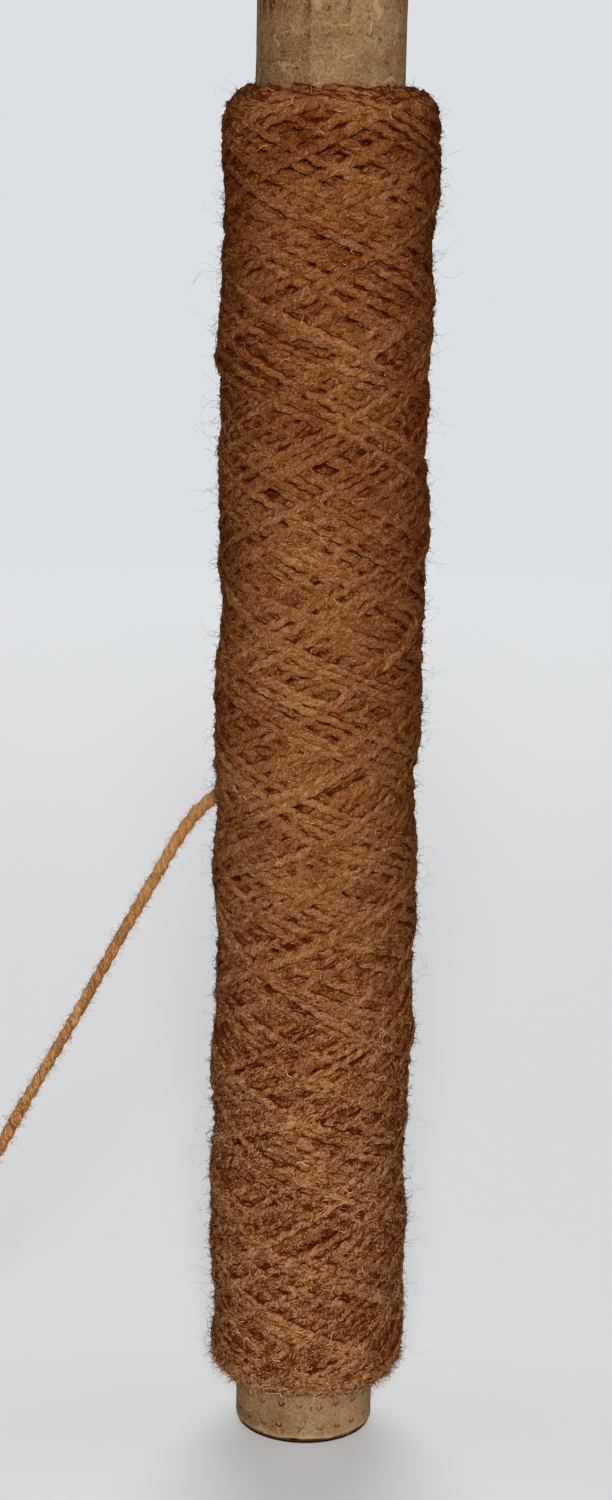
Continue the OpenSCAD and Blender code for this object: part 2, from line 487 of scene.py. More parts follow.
def plan_passes(rng):
    """Azimuth (in turns) and height of every pass, the last one ending where the loose end leaves."""
    passes = []
    turn = 0.0
    for band, (round_trip, strands, gap, level) in enumerate(BANDS):
        share = band / len(BANDS)
        rise_turns = round_trip / 2 + rng.uniform(-UNEVEN_RISE, UNEVEN_RISE)
        drifts = [softened(np.repeat(rng.normal(0, DRIFT, DRIFT_KNOTS), DRIFT_STEPS), DRIFT_SOFTNESS)
                  for _ in range(2)]
        inset = INSET + INSET_GROWTH * share * share
        turn += rng.uniform(*BAND_START)
        for _ in range(strands):
            lo = WOUND_LO + inset + abs(rng.normal(0, END_SCATTER))
            hi = WOUND_HI - inset - abs(rng.normal(0, END_SCATTER))
            step = gap / MEAN_TURN / math.sin(math.atan(2 * (hi - lo) / (round_trip * MEAN_TURN)))
            step = step * rng.normal(1.0, GAP_SCATTER)
            u, z = traverse(rng, lo, hi, rise_turns, drifts[0])
            passes.append([turn + u, z, level, band, True])
            turn += rise_turns
            fall_turns = round_trip + step - rise_turns
            u, z = traverse(rng, lo, hi, fall_turns, drifts[1])
            passes.append([turn + u, z[::-1], level, band, False])
            turn += fall_turns
    turns, z = passes[-1][:2]
    exit_at = int(np.argmax(z < EXIT[2]))
    passes[-1][:2] = turns[:exit_at + 1], z[:exit_at + 1]
    shift = math.atan2(EXIT[1], EXIT[0]) / TURN - turns[exit_at]
    return [(turns + shift, *rest) for turns, *rest in passes]


def laid_last_first(passes, rising_on_top):
    """The passes of one half of the winding, from the top one down."""
    def place(k):
        band, rising = passes[k][3:]
        ahead = PASS_LEAD * BANDS[band][1] if rising == rising_on_top or k == len(passes) - 1 else 0
        return band * BAND_ORDER + k + ahead

    return sorted(range(len(passes)), key=place, reverse=True)


ROWS = int((WOUND_HI - WOUND_LO + 2 * CELL_MARGIN) / CELL)
COLS = int(MEAN_TURN / CELL)


def cells(turn, z):
    col = np.floor((turn % 1.0) * COLS).astype(int) % COLS
    row = np.clip(((z - WOUND_LO + CELL_MARGIN) / CELL).astype(int), 0, ROWS - 1)
    return col, row


def strands_of(rng, passes):
    """Each pass with its lean, its own girth and slack, and nothing yet laid over it."""
    laid = []
    for turns, z, *_ in passes:
        count = len(turns)
        laid.append(dict(turns=turns, z=z, lean=np.arctan2(np.gradient(z), np.gradient(turns) * MEAN_TURN),
                         girth=uneven_girth(rng, count, *GIRTH),
                         slack=SLACK[0] * smooth_noise(rng, count, RING_STEP, SLACK[1]),
                         over=np.zeros(count), open=np.zeros(count)))
    return laid


def lay_passes(rng):
    """Sinks each pass under those that lie over it. Returns the passes, and how many cover each cell."""
    passes = plan_passes(rng)
    covers = np.zeros((COLS, ROWS), int)
    laid = strands_of(rng, passes)
    for upper_half in (True, False):
        for k in laid_last_first(passes, not upper_half):
            one = laid[k]
            here = (one["z"] > HALF_WAY) == upper_half
            turns, z, lean = one["turns"][here], one["z"][here], one["lean"][here]

            def beside(off):
                return cells(turns - off * np.sin(lean) / MEAN_TURN, z + off * np.cos(lean))

            if len(turns):
                one["over"][here] = np.mean([covers[beside(off)] for off in OVER_AT], axis=0)
                one["open"][here] = np.mean([covers[beside(off)] == 0 for off in OPEN_AT], axis=0)
                mask = np.zeros(covers.shape, bool)
                for off in COVER_AT:
                    mask[beside(off)] = True
                covers += mask
    for one, (_, _, level, _, _) in zip(laid, passes):
        depth = level + softened(np.interp(one["over"], range(len(SINK)), SINK), SINK_SOFTNESS)
        one["centre"] = package_r(one["z"], one["turns"]) - depth
        one["depth"] = np.clip(depth / DEEPEST, 0, 1)
    last = laid[-1]
    lift = np.clip(1 - (last["turns"][-1] - last["turns"]) * MEAN_TURN / LIFT_LENGTH, 0, 1)
    lift = lift * lift * (3 - 2 * lift)
    last["centre"] = last["centre"] + lift * (math.hypot(EXIT[0], EXIT[1]) - last["centre"])
    return laid, covers


def unit_rows(vectors):
    return vectors / np.linalg.norm(vectors, axis=1)[:, None]


def square_to_line(points, out):
    """The outward directions made square to the line through the points, and the sideways ones."""
    tangent = unit_rows(np.gradient(points, axis=0))
    side = unit_rows(np.cross(tangent, out))
    return np.cross(side, tangent), side


def strand_points(one):
    """A pass's centreline points, and its outward and sideways directions."""
    angle = one["turns"] * TURN
    out = np.stack([np.cos(angle), np.sin(angle), np.zeros_like(angle)], axis=1)
    points = out * one["centre"][:, None]
    points[:, 2] = one["z"]
    return points, *square_to_line(points, out)


# What a run holds after its points, and what each point of the yarn then carries.
RUN_FIELDS = ("outward", "sideways", "along", "girth", "open", "near_end", "depth", "curls")
AT_OPEN = 1 + RUN_FIELDS.index("open")


def point_attribute(mesh, name, values):
    """Gives each point of a mesh its own number, or its own vector."""
    flat = np.asarray(values, np.float32).ravel()
    kind, field = ("FLOAT_VECTOR", "vector") if len(flat) > len(mesh.vertices) else ("FLOAT", "value")
    mesh.attributes.new(name, kind, "POINT").data.foreach_set(field, flat)


def line_mesh(name, runs):
    """A mesh of open lines. Each run holds its points and then the fields named in RUN_FIELDS."""
    mesh = bpy.data.meshes.new(name)
    points = np.concatenate([r[0] for r in runs]) * MM
    edges = []
    start = 0
    for r in runs:
        n = len(r[0])
        edges.append(np.stack([np.arange(n - 1), np.arange(1, n)], axis=1) + start)
        start += n
    edges = np.concatenate(edges)
    mesh.vertices.add(len(points))
    mesh.vertices.foreach_set("co", points.ravel())
    mesh.edges.add(len(edges))
    mesh.edges.foreach_set("vertices", edges.ravel())
    for at, label in enumerate(RUN_FIELDS, 1):
        point_attribute(mesh, label, np.concatenate([r[at] for r in runs]))
    mesh.update()
    return mesh


# Which stretches show, and where fibres grow on them.
SEEN_SHARE = 0.3
SHORTEST_RUN = 3
OPEN_FROM = 0.2
OPEN_OVER = 0.5
BURIED_NAP_LOSS = 0.4
LOW_END_FIBRES = (1.4, 6.0)
HIGH_END_FIBRES = (0.5, 4.0)
# Less painted shade for depth near the winding's ends.
END_PALER = 0.7
END_PALER_FROM = 1.2
END_PALER_OVER = 8.0
CURLY_BELOW = 160
CURLY_OVER = 60
CURLY_NAP_LOSS = 0.5
CURLS_HIGH_UP = 0.45
CURLS_ADDED = 1.4


def fibre_shares(one, cut, height):
    """For a stretch: where nap grows, where end fibres grow, how deep it lies for its painted shade (less
    near the ends), and where curls grow.
    """
    from_lo, from_hi = height - WOUND_LO, WOUND_HI - height
    depth = one["depth"][cut]
    shown = np.clip((one["open"][cut] - OPEN_FROM) / OPEN_OVER, 0, 1) * (1 - BURIED_NAP_LOSS * depth)
    near_end = np.maximum(LOW_END_FIBRES[0] - from_lo / LOW_END_FIBRES[1],
                          HIGH_END_FIBRES[0] - from_hi / HIGH_END_FIBRES[1])
    at_end = np.clip(END_PALER_FROM - np.minimum(from_lo, from_hi) / END_PALER_OVER, 0, 1)
    low = np.clip((CURLY_BELOW - height) / CURLY_OVER, 0, 1)
    nap = shown * (1.0 - CURLY_NAP_LOSS * low)
    curls = shown * (CURLS_HIGH_UP + CURLS_ADDED * low)
    return nap, np.clip(near_end, 0, 1), depth * (1 - END_PALER * at_end), curls


def visible_runs(one):
    """The stretches of a pass that aren't buried, each with a little to spare."""
    points, out, side = strand_points(one)
    steps = np.linalg.norm(np.diff(points, axis=0), axis=1)
    along = np.concatenate([[0], np.cumsum(steps)])
    along = along - along[-1] + one["slack"]
    seen = softened(one["open"], 1) > SEEN_SHARE
    seen[1:] |= seen[:-1].copy()
    seen[:-1] |= seen[1:].copy()
    runs = []
    start = None
    for i, on in enumerate(np.append(seen, False)):
        if on and start is None:
            start = i
        elif not on and start is not None:
            if i - start > SHORTEST_RUN:
                cut = slice(start, i)
                shares = fibre_shares(one, cut, points[cut][:, 2])
                runs.append((points[cut], out[cut], side[cut], along[cut], one["girth"][cut], *shares))
            start = None
    return runs


LENGTH_WEIGHT = 0.3


def share_out(runs):
    """All runs in as many lists as there are pieces, so that each piece has about as much to show."""
    weights = np.cumsum([sum(len(r[0]) * LENGTH_WEIGHT + r[AT_OPEN].sum() for r in rs) for rs in runs])
    shares = [[] for _ in range(YARN_PIECES)]
    for weight, rs in zip(weights, runs):
        shares[min(YARN_PIECES - 1, int((weight - 1) * YARN_PIECES / weights[-1]))] += rs
    return shares


# ---- Materials ----


def put_out(tree, result, values):
    for label, value in values.items():
        tree.links.new(value, result[label])


def noise(vector, scale, detail=2.0, rough=0.5):
    return node(vector.id_data, "ShaderNodeTexNoise", [
        ("Vector", vector), ("Scale", scale), ("Detail", detail), ("Roughness", rough)]).outputs["Fac"]


def spread_out(value, low, high):
    """0 at low and below, 1 at high and beyond."""
    return node(value.id_data, "ShaderNodeMapRange", [(0, value), (1, low), (2, high)]).outputs[0]


def parts_of(vector):
    return node(vector.id_data, "ShaderNodeSeparateXYZ", [(0, vector)]).outputs


def carried(tree, name, output="Fac"):
    return node(tree, "ShaderNodeAttribute", attribute_name=name).outputs[output]


def object_place(tree):
    return node(tree, "ShaderNodeTexCoord").outputs["Object"]


def placed_group(group, place_name, place):
    return node(place.id_data, "ShaderNodeGroup", [(place_name, place)], node_tree=group).outputs


# Detail and roughness of a pattern.
FINE_DETAIL = (3.0, 0.6)
CLOUD_DETAIL = (4.0, 0.6)
SPECKLE_DETAIL = (2.0, 0.7)

FINE_TONE = 0.85
BROAD_TONE = 0.4
WOOL_TONE_DROP = 0.125
LOOSE_FINER = 1.2
LOOSE_SHIFT = (7.0, 3.0, 5.0)
LOOSE_EDGE = (0.59, 0.66)
LOOSE_TONE = 0.16
LOOSE_RISE = 0.4


def wool_group():
    """Fibres that run along a strand: a tone for colour, and a height for bump."""
    tree, given, result = shader_group("wool_fibres", [
        ("Fibre place", "Vector"), ("Fineness", "Float", 2.7), ("Stretch", "Float", 0.13),
        ("Mottle size", "Float", 0.09)], ["Tone", "Height"])
    drawn = combined(1.0, 1.0, given["Stretch"])
    place = vec("MULTIPLY", given["Fibre place"], drawn)
    fine = noise(place, given["Fineness"], *FINE_DETAIL)
    broad = noise(given["Fibre place"], given["Mottle size"])
    tone = plus(times(fine, FINE_TONE), times(broad, BROAD_TONE))
    finer = times(given["Fineness"], LOOSE_FINER)
    loose = spread_out(noise(vec("ADD", place, LOOSE_SHIFT), finer), *LOOSE_EDGE)
    put_out(tree, result, {
        "Tone": plus(minus(tone, WOOL_TONE_DROP), times(loose, LOOSE_TONE)),
        "Height": plus(fine, times(loose, LOOSE_RISE))})
    return tree


WANDER_SIZE = 160.0
WANDER = 0.006
FIBRE_LIES = ((1.0, 1.0, 0.16), (0.25, 0.25, 1.0), (0.5, 1.0, 0.3))
FLECK_EDGE = (0.66, 0.74)
PIT_SIZE = 700.0
PIT_EDGE = (0.70, 0.78)
SPECKLE_SIZE = 1500.0
CLOUD_TONE = 0.55
SPECKLE_TONE = 0.8
PAPER_TONE_DROP = 0.18
FLECK_TONE = 0.20
PIT_TONE = 0.3
CLOUD_RISE = 0.6
FLECK_RISE = 0.4
PIT_DROP = 0.6


def paper_group():
    """Pressed paper: a cloudy tone, short pale and dark fibres, and a height for bump."""
    tree, given, result = shader_group("paper_fibres", [
        ("Place", "Vector"), ("Cloud size", "Float", 90.0), ("Fibre size", "Float", 420.0)],
        ["Tone", "Flecks", "Height"])
    place = given["Place"]
    cloud = noise(place, given["Cloud size"], *CLOUD_DETAIL)
    bend = node(tree, "ShaderNodeTexNoise", [
        ("Vector", place), ("Scale", WANDER_SIZE), ("Detail", 1.0)]).outputs["Color"]
    bent = vec("ADD", place, scaled(vec("SUBTRACT", bend, (0.5, 0.5, 0.5)), WANDER))
    flecks = None
    for squash in FIBRE_LIES:
        line = noise(vec("MULTIPLY", bent, squash), given["Fibre size"], 1.0)
        mark = spread_out(line, *FLECK_EDGE)
        flecks = mark if flecks is None else calc("MAXIMUM", flecks, mark)
    pits = spread_out(noise(place, PIT_SIZE, 1.0), *PIT_EDGE)
    speckle = noise(place, SPECKLE_SIZE, *SPECKLE_DETAIL)
    tone = plus(times(cloud, CLOUD_TONE), times(speckle, SPECKLE_TONE))
    tone = plus(minus(tone, PAPER_TONE_DROP), times(flecks, FLECK_TONE))
    height = plus(times(cloud, CLOUD_RISE), times(flecks, FLECK_RISE))
    put_out(tree, result, {
        "Tone": minus(tone, times(pits, PIT_TONE)), "Flecks": flecks,
        "Height": minus(height, times(pits, PIT_DROP))})
    return tree


ARC_SCATTER = 0.0009
ARC_EDGE = (0.00036, 0.00014)
ARC_LOWER_PART = (0.0004, 0.0)
ARC_STRENGTH = (-0.5, 0.6)
ARC_FADES = ((1, 0.1), (2, 0.36), (3, 1.0), (4, 0.35))


def marks_group():
    """Small pressed arcs in staggered rows round the tube: a mark for bump, and for colour as the painted
    shade of each dent.
    """
    tree, given, result = shader_group("pressed_arcs", [
        ("Place", "Vector"), ("Count round", "Float", 22.0), ("Turned", "Float", 0.2),
        ("Row height", "Float", 0.00643), ("First row", "Float", 0.00155),
        ("Arc radius", "Float", 0.00068)], ["Mark"])
    place = parts_of(given["Place"])
    turn = over(calc("ARCTAN2", place["Y"], place["X"]), TURN)
    rise = over(minus(place["Z"], given["First row"]), given["Row height"])
    row = calc("FLOOR", rise)
    shifted = plus(times(turn, given["Count round"]), given["Turned"])
    column = calc("FLOOR", shifted)
    cell = combined(column, row)
    own = parts_of(node(tree, "ShaderNodeTexWhiteNoise", [("Vector", cell)]).outputs["Color"])
    wide = over(TURN * TUBE_R * MM, given["Count round"])

    def from_middle(at, whole, size, chance):
        inside = times(minus(minus(at, whole), 0.5), size)
        return plus(inside, times(minus(chance, 0.5), ARC_SCATTER))

    x = from_middle(shifted, column, wide, own["X"])
    y = from_middle(rise, row, given["Row height"], own["Y"])
    far = calc("SQRT", plus(times(x, x), times(y, y)))
    off = calc("ABSOLUTE", minus(far, given["Arc radius"]))
    arc = times(spread_out(off, *ARC_EDGE), spread_out(y, *ARC_LOWER_PART))
    fades = node(tree, "ShaderNodeMapRange", [(0, place["Z"]), *ARC_FADES]).outputs[0]
    strength = times(spread_out(own["Z"], *ARC_STRENGTH), fades)
    put_out(tree, result, {"Mark": times(arc, strength)})
    return tree


def ramp(factor, stops):
    made = node(factor.id_data, "ShaderNodeValToRGB", [(0, factor)])
    elements = made.color_ramp.elements
    while len(elements) < len(stops):
        elements.new(0.5)
    for element, (place, colour) in zip(elements, stops):
        element.position = place
        element.color = (*colour, 1)
    return made.outputs[0]


def new_material(name, roughness, specular):
    material = bpy.data.materials.new(name)
    material.use_nodes = True
    tree = material.node_tree
    shader = tree.nodes["Principled BSDF"]
    shader.inputs["Roughness"].default_value = roughness
    shader.inputs["Specular IOR Level"].default_value = specular
    return material, tree, shader


def bumped(shader, height, strength, distance, *normal):
    ins = [("Height", height), ("Strength", strength), ("Distance", distance)]
    made = node(height.id_data, "ShaderNodeBump", ins + [("Normal", given) for given in normal])
    height.id_data.links.new(made.outputs[0], shader.inputs["Normal"])


def nap_normal(tree, share):
    """A fibre's own normal, drawn towards the normal of the winding that it lies on."""
    turned = node(tree, "ShaderNodeVectorTransform", [(0, carried(tree, "outward", "Vector"))],
                  vector_type="NORMAL", convert_from="OBJECT", convert_to="WORLD").outputs[0]
    own = node(tree, "ShaderNodeNewGeometry").outputs["Normal"]
    mixed = node(tree, "ShaderNodeMix", [(0, share), (4, own), (5, turned)], data_type="VECTOR").outputs[1]
    return vec("NORMALIZE", mixed)


SIDE_SHADE_EDGE = (0.97, 0.3)


def painted_side_shade(tree):
    """Where painted shade darkens the winding: most on the sides, least in front and behind."""
    turned = parts_of(carried(tree, "outward", "Vector"))["Y"]
    return spread_out(calc("ABSOLUTE", turned), *SIDE_SHADE_EDGE)


CREST_EDGE = (0.15, 0.65)
CREST_MEAN = 0.87
BURIED_PAINTED_SHADE = 0.17
UPPER_PART = (0.06, 0.36)
PATCH_SIZE = 42.0
PATCHES_UP = 0.16
PATCHES_DOWN = 0.07
CRISP_PART = (0.16, 0.09)
CRISPER = 1.25
MEAN_TONE = 0.565
WOOL_BUMP = (0.8, 0.0008)
WOOL_GLOSS = (0.95, 0.02)

# For each wool: dark, middle and light colours; how dark the painted shade in the grooves between the plies
# and on the strands' sides is; how far the tone spreads; how much painted shade darkens it higher up; how
# far its normals are drawn towards the winding's; and how much painted shade darkens its sides.
WOOLS = {
    "wool": dict(
        colours=((0.095, 0.014, 0.001), (0.258, 0.092, 0.025), (0.50, 0.243, 0.103)),
        groove_shade=0.50, spread=0.2, upper_shade=0.075, level=0.3, side_shade=0.12),
    "loose_wool": dict(
        colours=((0.22, 0.070, 0.015), (0.46, 0.205, 0.066), (0.68, 0.37, 0.15)),
        groove_shade=0.25, spread=0.2, upper_shade=0.075, level=0.0, side_shade=0.10),
    "loose_fuzz": dict(
        colours=((0.22, 0.070, 0.015), (0.60, 0.305, 0.13), (0.88, 0.54, 0.27)),
        groove_shade=0.0, spread=0.14, upper_shade=0.0, level=0.0, side_shade=0.0),
    "wool_fuzz": dict(
        colours=((0.12, 0.030, 0.005), (0.40, 0.185, 0.072), (0.74, 0.43, 0.22)),
        groove_shade=0.0, spread=0.12, upper_shade=0.05, level=0.85, side_shade=0.06),
    "wool_fleck": dict(
        colours=((0.20, 0.065, 0.014), (0.60, 0.305, 0.13), (0.88, 0.54, 0.27)),
        groove_shade=0.0, spread=0.14, upper_shade=0.12, level=0.7, side_shade=0.07),
}


def wool_material(name, fibres, colours, groove_shade, spread, upper_shade, level, side_shade):
    material, tree, shader = new_material(name, *WOOL_GLOSS)
    made = placed_group(fibres, "Fibre place", carried(tree, "fibre", "Vector"))
    tone = made["Tone"]
    # Painted shade: darker where the crest is low, in the grooves between the plies and on the strands'
    # sides.
    if groove_shade:
        crest = minus(spread_out(carried(tree, "crest"), *CREST_EDGE), CREST_MEAN)
        tone = plus(tone, times(crest, groove_shade))
    # Painted shade: buried strands darker, the deeper the darker.
    tone = minus(tone, times(carried(tree, "depth"), BURIED_PAINTED_SHADE))
    where = object_place(tree)
    height = parts_of(where)["Z"]
    upper = spread_out(height, *UPPER_PART)
    patch = minus(noise(where, PATCH_SIZE, 1.0), 0.5)
    patchy = plus(times(upper, PATCHES_UP), PATCHES_DOWN)
    tone = plus(tone, times(patch, patchy))
    # Painted shade: darker higher up the winding.
    tone = minus(tone, times(upper, upper_shade))
    crisp = plus(times(spread_out(height, *CRISP_PART), CRISPER), 1.0)
    tone = plus(times(minus(tone, MEAN_TONE), crisp), MEAN_TONE)
    # Painted shade on the winding's sides, stronger higher up.
    sides = times(painted_side_shade(tree), plus(times(upper, 0.5), 0.5))
    tone = minus(tone, times(sides, side_shade))
    dark, middle, light = colours
    colour = ramp(tone, [(0.5 - spread, dark), (0.5, middle), (0.5 + spread, light)])
    tree.links.new(colour, shader.inputs["Base Color"])
    bumped(shader, made["Height"], *WOOL_BUMP, *([nap_normal(tree, level)] if level else []))
    return material


# The darkest paper colour, reached by the painted shade and the painted shadow.
SHADE_BLACK = (0.006, 0.003, 0.002)
LAP_DARKER = 0.10
ARC_PAINTED_SHADE = 0.34
CRACK_PART = (0.379, 0.389)
CRACK_SIZE = 330.0
CRACK_SHAPE = (1.0, 1.0, 0.1)
CRACK_EDGE = (0.62, 0.68)
CRACK_PAINTED_SHADE = 0.35
LIP_HIGHLIGHT_PART = (0.0027, 0.0015)
LIP_PAINTED_HIGHLIGHT = 0.22
FOOT_PALER = 0.07
TUBE_MIDDLE = 0.55
RIM_SHADOW_PART = (0.0024, 0.0017)
PAPER_BUMP = (0.7, 0.0006)
PAPER_GLOSS = (0.85, 0.08)


def face_marks(tree, place, height, tone, high, marks):
    """The lap, the pressed arcs and the cracks near the top rim, the last two darkened with painted shade,
    and a painted highlight on the lip at the lower rim.
    """
    tone = minus(tone, times(carried(tree, "lap"), LAP_DARKER))
    arcs = placed_group(marks, "Place", place)["Mark"]
    # Painted shade: each pressed arc is darkened as well as pressed into the bump.
    tone = minus(tone, times(arcs, ARC_PAINTED_SHADE))
    round_about = vec("MULTIPLY", place, CRACK_SHAPE)
    cracks = spread_out(noise(round_about, CRACK_SIZE, 1.0), *CRACK_EDGE)
    cracks = times(cracks, spread_out(height, *CRACK_PART))
    # Painted shade: the cracks are darkened as well as pressed into the bump.
    tone = minus(tone, times(cracks, CRACK_PAINTED_SHADE))
    # Painted highlight along the lip of the lower rim.
    tone = plus(tone, times(spread_out(height, *LIP_HIGHLIGHT_PART), LIP_PAINTED_HIGHLIGHT))
    up = spread_out(height, 0.0, 0.4)
    tone = plus(tone, times(minus(TUBE_MIDDLE, up), FOOT_PALER))
    return tone, minus(minus(high, arcs), cracks)


def kraft_material(name, dark, middle, light, paper, marks):
    """Kraft paper: with marks it is the face ply, and without them the plies behind, black at their lower
    rim with a painted shadow.
    """
    material, tree, shader = new_material(name, *PAPER_GLOSS)
    place = object_place(tree)
    height = parts_of(place)["Z"]
    made = placed_group(paper, "Place", place)
    tone, high = made["Tone"], made["Height"]
    if marks:
        tone, high = face_marks(tree, place, height, tone, high, marks)
    else:
        # Painted shadow: the inner plies go black along their lower rim, under the face ply's raised edge.
        tone = minus(tone, spread_out(height, *RIM_SHADOW_PART))
    colour = ramp(tone, [(0.0, SHADE_BLACK), (0.25, dark), (0.5, middle), (0.75, light)])
    tree.links.new(colour, shader.inputs["Base Color"])
    bumped(shader, high, *PAPER_BUMP)
    return material


# ---- The loose end and the buried layers ----

ROUTE_STEPS = 12
TIP_LENGTH = 6.0
GROUND_EASE = 0.0004


def spline_through(points, per_span):
    """The smooth curve through the route's points that the solid follows."""
    p = np.array(points, float)
    p = np.vstack([p[:1], p, p[-1:]])
    out = []
    for i in range(1, len(p) - 2):
        for s in range(per_span):
            t = s / per_span
            a, b, c, d = p[i - 1], p[i], p[i + 1], p[i + 2]
            out.append(0.5 * (2 * b + (c - a) * t + (2 * a - 5 * b + 4 * c - d) * t * t
                              + (3 * b - a - 3 * c + d) * t * t * t))
    out.append(p[-2])
    return np.array(out)


def even_steps(points, step):
    gaps = np.linalg.norm(np.diff(points, axis=0), axis=1)
    s = np.concatenate([[0], np.cumsum(gaps)])
    at = np.linspace(0, s[-1], int(s[-1] / step) + 1)
    return np.stack([np.interp(at, s, points[:, i]) for i in range(3)], axis=1), at


def tail_run(rng):
    """The loose end as one run: open and curly all along, never buried, and frayed near its tip."""
    points, along = even_steps(spline_through([EXIT, *TAIL_ROUTE], ROUTE_STEPS), RING_STEP)
    out = np.array([[EXIT[0], EXIT[1], 0.0]]) / math.hypot(EXIT[0], EXIT[1])
    out, side = square_to_line(points, np.repeat(out, len(points), axis=0))
    girth = uneven_girth(rng, len(points), *TAIL_GIRTH)
    nothing = np.zeros(len(points))
    near_end = np.clip((along - along[-1]) / TIP_LENGTH + 1, 0, 1)
    return points, out, side, along, girth, nothing + 1, near_end, nothing, nothing + 1


def rest_on_ground(piece):
    """Bends the fibres that would pass through the ground so that they lie along it."""
    count = len(piece.data.vertices)
    place = np.empty(count * 3, np.float32)
    piece.data.vertices.foreach_get("co", place)
    place = place.reshape(-1, 3)
    place[:, 2] = GROUND_EASE * np.logaddexp(0, place[:, 2] / GROUND_EASE)
    piece.data.vertices.foreach_set("co", place.ravel())
    piece.data.update()


def ring_mesh(name, loops):
    """A closed ring: loops[i, j] is point i of the section at step j round the axis."""
    m, n = loops.shape[:2]
    i, j = np.meshgrid(np.arange(m), np.arange(n), indexing="ij")
    near, far = (i + 1) % m, (j + 1) % n
    faces = np.stack([i * n + j, i * n + far, near * n + far, near * n + j], axis=-1).reshape(-1, 4)
    mesh = bpy.data.meshes.new(name)
    mesh.from_pydata((loops.reshape(-1, 3) * MM).tolist(), [], faces.tolist())
    mesh.polygons.foreach_set("use_smooth", np.ones(len(faces), bool))
    mesh.update()
    return mesh


def ring_points(radius, z, angle):
    return np.stack([radius * np.cos(angle), radius * np.sin(angle), z + 0 * radius], axis=-1)


SLEEVE_COLUMNS = 80
SLEEVE_STEP = 2.4
SLEEVE_LO = 0.6
SLEEVE_HI = 0.5
SLEEVE_DEPTH = 1.4
SLEEVE_END = 3.0
SLEEVE_END_DEPTH = 0.3
SLEEVE_LUMPS = (0.3, 6.4)
SLEEVE_OFF_TUBE = 0.15
SLEEVE_INTO_TUBE = 0.05
SLEEVE_CREST = 0.5
SLEEVE_SHADE = 0.3
SLEEVE_PATTERN = (0.7, 0.7, 0.9)
BARE_AT = (-0.8, 0, 0.8)


def under_winding(covers):
    """The buried layers: a lumpy sleeve that closes the gaps between the top strands."""
    z = np.arange(WOUND_LO + SLEEVE_LO, WOUND_HI - SLEEVE_HI, SLEEVE_STEP)
    angle = np.linspace(0, TURN, SLEEVE_COLUMNS, endpoint=False)
    grid_z, grid_a = np.meshgrid(z, angle, indexing="ij")
    from_end = np.minimum(grid_z - WOUND_LO, WOUND_HI - grid_z)
    depth = SLEEVE_DEPTH * np.clip(from_end / SLEEVE_END, SLEEVE_END_DEPTH, 1)
    radius = package_r(grid_z, grid_a / TURN) - depth
    height, spacing = SLEEVE_LUMPS
    radius = radius + height * np.sin(grid_z * TURN / spacing + 3 * np.sin(grid_a * 2))
    radius = np.maximum(radius, TUBE_R + SLEEVE_OFF_TUBE)
    outer = ring_points(radius, grid_z, grid_a)
    inner = ring_points(np.full((2, len(angle)), TUBE_R - SLEEVE_INTO_TUBE),
                        np.array([[z[-1]], [z[0]]]), angle[None, :])
    loops = np.concatenate([outer, inner])
    mesh = ring_mesh("under_winding", loops)
    count = len(mesh.vertices)
    # The sleeve's crest and depth give it the wool's painted shade.
    point_attribute(mesh, "crest", np.full(count, SLEEVE_CREST))
    point_attribute(mesh, "depth", np.full(count, SLEEVE_SHADE))
    bare = sum(covers[cells(grid_a / TURN + dx / MEAN_TURN, grid_z + dz)] == 0
               for dx in BARE_AT for dz in BARE_AT) / len(BARE_AT) ** 2
    point_attribute(mesh, "bare", np.concatenate([bare, np.zeros((2, len(angle)))]))
    points = loops.reshape(-1, 3)
    point_attribute(mesh, "fibre", points * SLEEVE_PATTERN)
    point_attribute(mesh, "outward", unit_rows(points * (1.0, 1.0, 0.0)))
    return placed_object("under_winding", mesh)


# ---- The face ply ----

FACE_COLUMNS = 264
FACE_STEP = 1.4
FACE_LO = 1.9
FACE_HI = 1.8
BARE_MARGIN = 3
COVERED_MARGIN = 6
COVERED_ROWS = 8
SEAM_AT = math.radians(254.4)
LAP_STEP = 0.12
LAP_WIDTH = 3.0
LAP_SHADE = (1.6, 4)
# Ripples of the paper as (height, count round, rise over which they turn).
RIPPLES = ((0.05, 9, 5), (0.04, 23, -3))
FACE_SINK = 0.05
# The ragged rims: chance tears, and two waves as (height, count round).
TEARS = 0.14
TEAR_WAVES = ((0.10, 7), (0.08, 17))
RAGGED_BASE = 0.88
RAGGED_TILT = 0.15
RAGGED_DEPTH = 0.8
RIM_LIP = (0.03, 0.22)
RIM_ROUND = 0.12
RIM_SPLAY = 0.15
INNER_END = 0.5


def torn_rims(rng, angle, first, last):
    """Three rings across each torn rim and a lip outside them, from the first and last outer radii."""
    ragged = TEARS * softened(rng.normal(0, 1, FACE_COLUMNS), 1)
    for height, count in TEAR_WAVES:
        ragged = ragged + height * np.sin(angle * count)
    ragged = RAGGED_BASE + RAGGED_TILT * np.sin(angle + math.pi) + RAGGED_DEPTH * (ragged - ragged.min())
    rims = []
    for radius, at, sign in ((first, 0.0, 1), (last, TUBE_LEN, -1)):
        rims.append(ring_points(radius + RIM_LIP[0], at + sign * (ragged + RIM_LIP[1]), angle))
        for share in (0.0, 0.5, 1.0):
            r = radius - RIM_ROUND + (PLY_R - TUBE_R + 2 * RIM_ROUND) * share
            rims.append(ring_points(r, at + sign * ragged * (1 + RIM_SPLAY * share), angle))
    return rims[:4], rims[4:]


